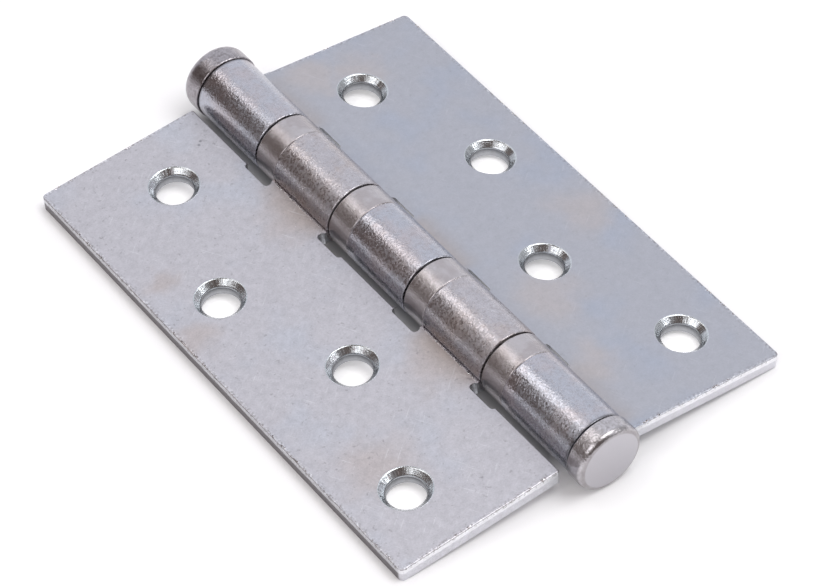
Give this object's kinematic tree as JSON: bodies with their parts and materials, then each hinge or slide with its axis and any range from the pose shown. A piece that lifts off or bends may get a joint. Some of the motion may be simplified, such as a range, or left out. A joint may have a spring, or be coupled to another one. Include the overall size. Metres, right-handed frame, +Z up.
{
  "type": "butt hinge",
  "caption": "Ball-bearing butt hinge with rolled knuckles, countersunk screw holes and button ends, lying open.",
  "frame": {"origin": "middle of the pin, on its axis, which is also the middle of the whole hinge as it lies open", "axes": "+Y along the pin towards its head, +X towards the three-knuckle leaf, +Z up from the surface it lies on"},
  "size_m": [0.0766, 0.1107, 0.0125],
  "materials": {
    "leaf_zinc": "satin bright zinc plate",
    "button_zinc": "bright zinc plate, tumbled",
    "shell_zinc": "drawn steel, bright zinc plate",
    "race_steel": "ground and hardened",
    "ball_steel": "polished"
  },
  "bodies": {
    "three_knuckle_side": {"three_knuckle_leaf": "leaf_zinc", "hinge_pin": "button_zinc", "pin_tip": "button_zinc", "upper_race_1": "race_steel", "bearing_shell_2": "shell_zinc", "lower_race_2": "race_steel", "upper_race_3": "race_steel", "bearing_shell_4": "shell_zinc", "lower_race_4": "race_steel"},
    "two_knuckle_side": {"two_knuckle_leaf": "leaf_zinc", "bearing_shell_1": "shell_zinc", "lower_race_1": "race_steel", "upper_race_2": "race_steel", "bearing_shell_3": "shell_zinc", "lower_race_3": "race_steel", "upper_race_4": "race_steel"},
    "ball_sets": {"bearing_balls_1": "ball_steel", "bearing_balls_2": "ball_steel", "bearing_balls_3": "ball_steel", "bearing_balls_4": "ball_steel"}
  },
  "joints": [
    {"name": "leaf_swing", "type": "hinge", "parent": "three_knuckle_side", "child": "two_knuckle_side", "pos_m": [0, 0, 0], "axis": [0, 1, 0], "range_deg": [-120, 189]},
    {"name": "ball_roll", "type": "hinge", "parent": "three_knuckle_side", "child": "ball_sets", "pos_m": [0, 0, 0], "axis": [0, 1, 0], "range_deg": [-60, 94.5]}
  ],
  "couplings": [
    {"joint": "ball_roll", "follows": "leaf_swing", "ratio": 0.5}
  ]
}
